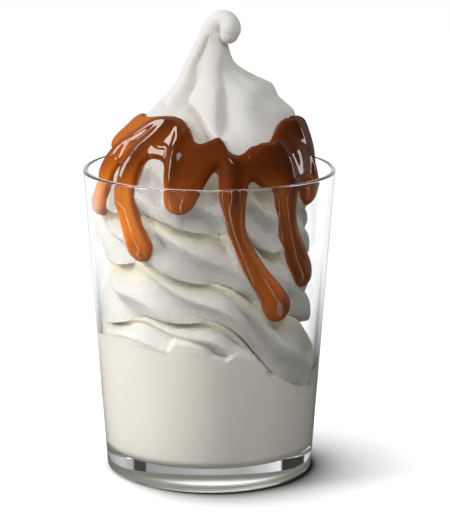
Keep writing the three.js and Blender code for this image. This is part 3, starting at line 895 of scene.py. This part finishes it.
def caramel_sauce():
    angles = np.linspace(-180, 180, SAUCE_COLUMNS, endpoint=False)
    heights = np.arange(*SAUCE_ROWS)
    a, z = np.meshgrid(angles, heights)
    reach, bulb = sauce_reach(a, z)
    serve = drooped(serve_radius(a, z), lip(a, z), heights)
    row = SAUCE_ROWS[2]
    cut = serve - envelope(z)
    hull = widest(cut, round(BRIDGED[0] / row))
    bridged = envelope(z) + blurred(lerp(cut, hull, BRIDGED[1]), SMOOTHED[0] / row,
                                    SMOOTHED[1] / (TURN / SAUCE_COLUMNS))
    slope = envelope_slope(z)
    out_r = 1 / np.hypot(1, slope)
    out_z = -slope / np.hypot(1, slope)
    height = sauce_height(reach) * (1 + END_BULB / COAT_DEPTH * bulb)
    height += streams(a, z) * smoothstep(reach, *STREAM_FADE)
    base = smooth_max(serve + (COVER - 1) * height * out_r, bridged, BRIDGE_BLEND)
    base = np.where(reach > BRIDGED_FROM, base, serve)
    depth = height + (base - serve) * out_r
    turn = np.radians(a)

    def shell(radius, proud):
        """Points at a distance out from a surface, held clear of the glass."""
        r = radius + proud * out_r
        x = lean(z) + r * np.sin(turn)
        y = -r * np.cos(turn)
        x, y = held_in(x, y, z, -GLASS_GAP)
        return np.stack([x, y, z + proud * out_z], axis=-1)

    outer = shell(base, height)
    inner = shell(serve, np.full_like(height, -INNER_DEPTH))
    deepest = np.maximum(depth[:-1], depth[1:])
    deepest = np.maximum(deepest, np.roll(deepest, -1, axis=1))
    kept = without_corners(deepest > -RIM_DEPTH)
    rows, columns = a.shape
    quads = quads_at(*np.nonzero(kept), columns)
    count = rows * columns
    edges = np.concatenate([quads[:, [s, (s + 1) % 4]] for s in range(4)])
    keys = edges[:, 0] * count + edges[:, 1]
    back = edges[:, 1] * count + edges[:, 0]
    rim = edges[~np.isin(keys, back)]
    walls = np.stack([rim[:, 1], rim[:, 0], rim[:, 0] + count, rim[:, 1] + count], axis=-1)
    faces = np.concatenate([quads, quads[:, ::-1] + count, walls])
    points = np.concatenate([outer.reshape(-1, 3), inner.reshape(-1, 3)])
    used, faces = np.unique(faces, return_inverse=True)
    faces = faces.reshape(-1, 4)
    # Painted light to the left and painted shade to the right, with the drips' own tone, added to
    # the depth that sets the colour.
    shade_and_tone = lerp(drip_shade_and_tone(a), coat_shade_and_tone(a), smoothstep(z, *COAT_FROM))
    depth_and_shade = height + GROOVE_POOLED * np.maximum(depth - height, 0)
    depth_and_shade += shade_and_tone * smoothstep(height, *SHADE_AND_TONE_FROM)
    painted_shade, width = EDGE_SHADE
    # Painted shade along the sauce's outline.
    depth_and_shade += painted_shade * np.exp(-((np.maximum(reach, 0) / width) ** 2))
    depth_and_shade = np.concatenate([depth_and_shade.ravel(), np.zeros(count)])
    return mesh_piece("caramel_pour", points[used], faces, {"depth": depth_and_shade[used]})


# ---- Shader expressions ----


class Value:
    """A socket in a node tree, on which the arithmetic operators add Math nodes."""

    def __init__(self, tree, socket):
        self.tree = tree
        self.socket = socket

    def __add__(self, other):
        return self.tree.math("ADD", self, other)

    def __sub__(self, other):
        return self.tree.math("SUBTRACT", self, other)

    def __rsub__(self, other):
        return self.tree.math("SUBTRACT", other, self)

    def __mul__(self, other):
        return self.tree.math("MULTIPLY", self, other)

    def __truediv__(self, other):
        return self.tree.math("DIVIDE", self, other)

    __radd__ = __add__
    __rmul__ = __mul__

    def out(self, name):
        """Another output of the same node."""
        return Value(self.tree, self.socket.node.outputs[name])


class Finish:
    """A node tree of a material or world. node() adds any node: its type, settings, sockets."""

    def __init__(self, owner):
        owner.use_nodes = True
        self.owner = owner
        self.nodes = owner.node_tree.nodes
        self.links = owner.node_tree.links
        self.nodes.clear()

    def node(self, kind, settings=None, sockets=None):
        made = self.nodes.new(kind)
        for key, value in (settings or {}).items():
            if key == "stops":
                ramp = made.color_ramp
                while len(ramp.elements) < len(value):
                    ramp.elements.new(1.0)
                for element, (at, colour) in zip(ramp.elements, value):
                    element.position = at
                    element.color = (*colour, 1)
            else:
                setattr(made, key, value)
        for key, value in (sockets or {}).items():
            if isinstance(value, Value):
                self.links.new(value.socket, made.inputs[key])
            else:
                made.inputs[key].default_value = value
        return Value(self, made.outputs[0]) if made.outputs else None

    def math(self, operation, *values):
        return self.node("ShaderNodeMath", {"operation": operation}, dict(enumerate(values)))

    def attribute(self, name):
        return self.node("ShaderNodeAttribute", {"attribute_name": name}).out("Fac")

    def place(self):
        """The point on the object."""
        return self.node("ShaderNodeTexCoord").out("Object")

    def parts(self, vector):
        """The three coordinates of a vector, by their outputs X, Y and Z."""
        return self.node("ShaderNodeSeparateXYZ", {}, {0: vector})

    def noise(self, scale, detail=2.0):
        return self.node("ShaderNodeTexNoise", {}, {
            "Vector": self.place(), "Scale": scale, "Detail": detail,
        })

    def ramp(self, value, low, high, start=0.0, end=1.0, shape="LINEAR"):
        """A value that goes from start to end while another goes from low to high."""
        return self.node("ShaderNodeMapRange", {"interpolation_type": shape}, {
            "Value": value, "From Min": low, "From Max": high, "To Min": start, "To Max": end,
        })

    def mix(self, share, first, second):
        """Colour between two colours."""
        made = self.node("ShaderNodeMix", {"data_type": "RGBA"}, {"Factor": share})
        for key, colour in ((6, first), (7, second)):
            if isinstance(colour, Value):
                self.links.new(colour.socket, made.socket.node.inputs[key])
            else:
                made.socket.node.inputs[key].default_value = (*colour, 1)
        return made.out(2)

    def surface(self, shader):
        kind = "World" if isinstance(self.owner, bpy.types.World) else "Material"
        self.node("ShaderNodeOutput" + kind, {}, {"Surface": shader})
        return self.owner


def finish_of(name):
    return Finish(bpy.data.materials.new(name))


# ---- Finishes ----


def clear_glass():
    finish = finish_of("clear_glass")
    glass = finish.node("ShaderNodeBsdfPrincipled", {}, {
        "Base Color": (0.985, 0.995, 0.99, 1), "Roughness": 0.0, "IOR": 1.5,
        "Transmission Weight": 1.0,
    })
    lamp = finish.node("ShaderNodeBsdfTransparent", {}, {"Color": (0.96, 0.97, 0.97, 1)})
    shadow = finish.node("ShaderNodeLightPath").out("Is Shadow Ray")
    return finish.surface(finish.node("ShaderNodeMixShader", {}, {0: shadow, 1: glass, 2: lamp}))


def whipped_cream_white():
    finish = finish_of("soft_serve_white")
    warm, pressed, folded = (finish.attribute(name) for name in ("warm", "pressed", "folded"))
    peak = finish.ramp(finish.parts(finish.place()).out("Z"), *PEAK_FINISH_FROM)
    colour = finish.mix(finish.noise(MOTTLE_SCALE, 3.0), *COIL_COLOURS)
    # The peak is painted lighter than the coil: painted light.
    colour = finish.mix(peak, colour, PEAK_COLOUR)
    colour = finish.mix(pressed, colour, PRESSED_COLOUR)
    # Painted warm light in the shade under each lip.
    colour = finish.mix(warm * WARM_SHARE, colour, WARM_COLOUR)
    # Painted shadow in the folds.
    colour = finish.mix(folded * FOLD_SHADE_SHARE, colour, FOLD_SHADE_COLOUR)
    height = finish.noise(FINE_SCALE) + finish.noise(COARSE_SCALE) * COARSE_SHARE
    grain = (height - (1 + COARSE_SHARE) / 2) * (1 - pressed)
    grain = grain * (1 - peak * PEAK_SMOOTH + folded * FOLD_ROUGH)
    bump = finish.node("ShaderNodeBump", {}, {"Strength": 0.85, "Distance": 0.001, "Height": grain})
    return finish.surface(finish.node("ShaderNodeBsdfPrincipled", {}, {
        "Base Color": colour, "Roughness": 0.55, "IOR": 1.36, "Subsurface Weight": 0.3,
        "Subsurface Radius": (0.002, 0.0017, 0.0012), "Subsurface Scale": 1.0,
        "Specular IOR Level": 0.35, "Normal": bump,
    }))


def caramel_gloss():
    finish = finish_of("caramel_gloss")
    # The depth attribute holds the sauce's thickness together with its painted light and shade.
    share = finish.attribute("depth") / SAUCE_DEEP + finish.noise(SWIRL_SCALE) * SWIRL - SWIRL / 2
    colour = finish.node("ShaderNodeValToRGB", {"stops": SAUCE_COLOURS}, {"Fac": share})
    body = finish.node("ShaderNodeBsdfPrincipled", {}, {
        "Base Color": colour, "Roughness": 0.3, "IOR": 1.45, "Specular IOR Level": 0.0,
        "Subsurface Weight": 0.15, "Subsurface Radius": (0.003, 0.001, 0.0004),
        "Subsurface Scale": 1.0,
    })
    gloss = finish.node("ShaderNodeBsdfGlossy", {}, {
        "Color": (1.0, 0.93, 0.88, 1), "Roughness": 0.05,
    })
    return finish.surface(finish.node("ShaderNodeMixShader", {}, {
        0: GLOSS_SHARE, 1: body, 2: gloss,
    }))


def studio_light(finish, across, ahead, reach):
    """How the white studio meets a ray, as four values: its brightness to a ray that doesn't see
    it white, 1 for such a ray, 1 for a ray that has passed through glass, and 1 for one that is
    mirrored once and has passed deep through glass.

    It is dim as light on the object. What mirrors it once sees it white far behind the object,
    where ahead passes reach, and dim elsewhere, most of all to the right, where across does. It
    is nearly white to light that the glass carries on from mirror to mirror."""
    path = finish.node("ShaderNodeLightPath")

    def met(kind, count):
        """1 for a ray that has met more than a count of surfaces of a kind."""
        return finish.math("GREATER_THAN", path.out(kind + " Depth"), count + 0.5)

    def over(value, start, end, first, last):
        return finish.ramp(value, start * reach, end * reach, first, last, "SMOOTHSTEP")

    scattered = met("Diffuse", 0)
    mirrored = met("Glossy", 0) * (1 - scattered)
    carried = met("Glossy", 1) * (1 - scattered)
    passed = met("Transmission", 0) * (1 - scattered)
    within = met("Transmission", 3) * (mirrored - carried)
    front = over(across, *MIRRORED)
    once = (mirrored - carried) * (front + (1 - front) * over(ahead, *BEHIND))
    further = carried * over(across, *CARRIED)
    return scattered * WORLD_LIGHT + once + further, scattered + mirrored, passed, within


def floor_white():
    """White with the shade round the foot. It glows under the glass, where it is seen through it,
    and in what is mirrored, as studio_light says."""
    finish = finish_of("floor_white")
    place = finish.place()
    parts = finish.parts(place)
    across, ahead = parts.out("X"), parts.out("Y")
    level, dimmed, passed, within = studio_light(finish, across, ahead, FLOOR_REACH)
    through = passed * (1 - dimmed)
    length = finish.node("ShaderNodeVectorMath", {"operation": "LENGTH"}, {0: place})
    from_axis = length.out("Value")
    under = finish.ramp(from_axis, *UNDER_EDGE, 1.0, 0.0)
    gap = from_axis - FOOT_SHADE
    wide, thin = (finish.math("EXPONENT", gap / -fade) for fade in SHADE_LENGTHS)
    towards = (across * SHADE_WAY[0] - ahead * SHADE_WAY[1]) / from_axis
    spread = finish.ramp(towards, *SHADE_SPREAD, shape="SMOOTHSTEP")
    dark = wide * spread * SHADE_DARK[0] + thin * SHADE_DARK[1]
    lit = finish.math("MAXIMUM", 1 - dark, DARKEST)
    white = finish.mix(through, (FLOOR_GREY,) * 3, (FLOOR_GREY * BACKLIGHT,) * 3)
    plain = finish.node("ShaderNodeBsdfDiffuse", {}, {"Color": finish.mix(lit, (0, 0, 0), white)})
    bearing = finish.math("ARCTAN2", across, 0 - ahead)
    strips = 0.0
    for middle, half, power in STRIPS:
        off = finish.math("ABSOLUTE", bearing - math.radians(middle))
        inner, outer = math.radians(half * STRIP_PLAIN), math.radians(half)
        strips = strips + power * finish.ramp(off, inner, outer, 1.0, 0.0)
    strength = under * through * UNDER_GLASS + level * dimmed + within * strips
    glow = finish.node("ShaderNodeEmission", {}, {"Strength": strength})
    share = dimmed + (1 - dimmed) * under * through
    return finish.surface(finish.node("ShaderNodeMixShader", {}, {0: share, 1: plain, 2: glow}))


# ---- Turning the tumbler on its axis ----


def turning_tree(material):
    """A node tree that turns a half section, given as a line in the XZ plane, into a solid."""
    tree = bpy.data.node_groups.new("turned_glass", "GeometryNodeTree")
    for name, way, kind in (("Section", "INPUT", "Geometry"), ("Columns", "INPUT", "Int"),
                            ("Weld distance", "INPUT", "Float"), ("Solid", "OUTPUT", "Geometry")):
        tree.interface.new_socket(name, in_out=way, socket_type="NodeSocket" + kind)

    def put(made, key, value):
        if isinstance(value, bpy.types.NodeSocket):
            tree.links.new(value, made.inputs[key])
        else:
            made.inputs[key].default_value = value

    def add(kind, settings=None, **sockets):
        made = tree.nodes.new(kind)
        for key, value in (settings or {}).items():
            setattr(made, key, value)
        for key, value in sockets.items():
            put(made, key.replace("_", " "), value)
        return made.outputs

    def store(geometry, name, value):
        return add("GeometryNodeStoreNamedAttribute", {"data_type": "FLOAT"},
                   Geometry=geometry, Name=name, Value=value)[0]

    def read(name):
        return add("GeometryNodeInputNamedAttribute", {"data_type": "FLOAT"}, Name=name)[0]

    def times(a, b):
        made = tree.nodes.new("ShaderNodeMath")
        made.operation = "MULTIPLY"
        put(made, 0, a)
        put(made, 1, b)
        return made.outputs[0]

    given = add("NodeGroupInput")
    point = add("ShaderNodeSeparateXYZ", Vector=add("GeometryNodeInputPosition")[0])
    line = add("GeometryNodeMeshToCurve", Mesh=given["Section"])[0]
    line = store(store(line, "section_r", point["X"]), "section_z", point["Z"])
    circle = add("GeometryNodeCurvePrimitiveCircle", Resolution=given["Columns"], Radius=1.0)[0]
    circle = store(store(circle, "round_x", point["X"]), "round_y", point["Y"])
    swept = add("GeometryNodeCurveToMesh", Curve=circle, Profile_Curve=line)[0]
    place = add("ShaderNodeCombineXYZ", X=times(read("section_r"), read("round_x")),
                Y=times(read("section_r"), read("round_y")), Z=read("section_z"))[0]
    moved = add("GeometryNodeSetPosition", Geometry=swept, Position=place)[0]
    welded = add("GeometryNodeMergeByDistance", Geometry=moved,
                 Distance=given["Weld distance"])[0]
    smooth = add("GeometryNodeSetShadeSmooth", Geometry=welded)[0]
    real = add("GeometryNodeRealizeInstances", Geometry=smooth)[0]
    coated = add("GeometryNodeSetMaterial", Geometry=real, Material=material)[0]
    add("NodeGroupOutput", Solid=coated)
    return tree


def made_by_nodes(name, source, tree, inputs):
    """The plain mesh object that a node tree makes from a source object."""
    modifier = source.modifiers.new("made", "NODES")
    modifier.node_group = tree
    for item in tree.interface.items_tree:
        if item.item_type == "SOCKET" and item.in_out == "INPUT" and item.name in inputs:
            modifier[item.identifier] = inputs[item.name]
    graph = bpy.context.evaluated_depsgraph_get()
    mesh = bpy.data.meshes.new_from_object(source.evaluated_get(graph), depsgraph=graph)
    bpy.data.objects.remove(source)
    mesh.name = name
    return placed(name, mesh)


def turned_tumbler(material):
    mesh = bpy.data.meshes.new("tumbler_section")
    points = [(r * MM, 0, z * MM) for r, z in tumbler_section()]
    mesh.from_pydata(points, [(i, i + 1) for i in range(len(points) - 1)], [])
    source = placed("tumbler_section", mesh)
    sizes = {"Columns": TUMBLER_COLUMNS, "Weld distance": WELD}
    return made_by_nodes("glass_tumbler", source, turning_tree(material), sizes)


# ---- The object ----

glass = facing_out(turned_tumbler(clear_glass()))
serve = facing_out(soft_serve())
serve.data.materials.append(whipped_cream_white())
sauce = facing_out(caramel_sauce())
sauce.data.materials.append(caramel_gloss())

for piece, node in ((glass, "tumbler"), (serve, "soft_serve"), (sauce, "caramel_sauce")):
    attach(piece, "root")
    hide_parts(node)


# ---- Floor, light and camera ----


def floor():
    """A white floor. It sends no diffuse light up at the object, which the world's stands for."""
    mesh = bpy.data.meshes.new("floor")
    side = FLOOR_SIDE
    mesh.from_pydata([(-side, -side, 0), (side, -side, 0), (side, side, 0), (-side, side, 0)],
                     [], [(0, 1, 2, 3)])
    mesh.materials.append(floor_white())
    made = placed("floor", mesh)
    made.visible_diffuse = False
    return made


def aimed(made, place, aim):
    made.location = place
    made.rotation_euler = (Vector(aim) - Vector(place)).to_track_quat("-Z", "Y").to_euler()
    return made


def lit_from(name, kind, place, aim, power):
    lamp = bpy.data.lights.new(name, kind)
    lamp.energy = power
    return aimed(placed(name, lamp), place, aim)


def softbox(name, place, aim, size, power):
    made = lit_from(name, "AREA", place, aim, power)
    made.data.shape = "RECTANGLE"
    made.data.size, made.data.size_y = size
    return made


def only_on(lamp, lit):
    """The lamp lights one object and no others."""
    group = bpy.data.collections.new(lamp.name + "_receivers")
    group.objects.link(lit)
    lamp.light_linking.receiver_collection = group


def white_studio_air():
    world = bpy.data.worlds.new("studio")
    bpy.context.scene.world = world
    air = Finish(world)
    way = air.parts(air.node("ShaderNodeTexCoord"))
    level, dimmed, passed, _ = studio_light(air, way.out("X"), way.out("Y"), AIR_REACH)
    width = 2 * WINDOW_SIDE
    stops = [((x + WINDOW_SIDE) / width, (bright,) * 3) for x, bright in BASE_WINDOW]
    across = way.out("X") / width + 0.5
    window = air.node("ShaderNodeValToRGB", {"stops": stops}, {"Fac": across})
    low = passed * air.ramp(way.out("Z"), 0.0, WINDOW_TOP)
    plain = level + (1 - dimmed) * (1 + passed * (BACKLIGHT - 1))
    seen = plain * (1 - low) + low * window
    air.surface(air.node("ShaderNodeBackground", {}, {"Color": (1, 1, 1, 1), "Strength": seen}))


def studio(ground):
    white_studio_air()
    softbox("key", *KEY)
    softbox("fill", *FILL)
    under = softbox("under", *UNDER)
    under.data.color = UNDER_COLOUR
    under.visible_camera = under.visible_glossy = under.visible_transmission = False
    only_on(under, serve)
    for name, place, size, power in GLINTS:
        glint = softbox(name, place, GLINT_AIM, size, power)
        glint.visible_diffuse = glint.visible_transmission = glint.visible_camera = False
        only_on(glint, sauce)
    sun = lit_from("floor_sun", "SUN", *FLOOR_SUN)
    sun.data.angle = math.radians(FLOOR_SUN_ANGLE)
    only_on(sun, ground)


def camera():
    lens = bpy.data.cameras.new("camera")
    lens.lens = LENS
    lens.sensor_width = SENSOR
    lens.shift_x = SHIFT
    lens.clip_start, lens.clip_end = CLIP
    rise = math.radians(CAMERA_RISE)
    away = Vector((0, -math.cos(rise), math.sin(rise))) * CAMERA_DISTANCE
    made = aimed(placed("camera", lens), Vector(CAMERA_AIM) + away, CAMERA_AIM)
    bpy.context.scene.camera = made


studio(floor())
camera()
scene = bpy.context.scene
scene.view_settings.view_transform = "Standard"
scene.cycles.use_denoising = True
for limit in ("max_bounces", "glossy_bounces", "transmission_bounces"):
    setattr(scene.cycles, limit, LIGHT_BOUNCES)
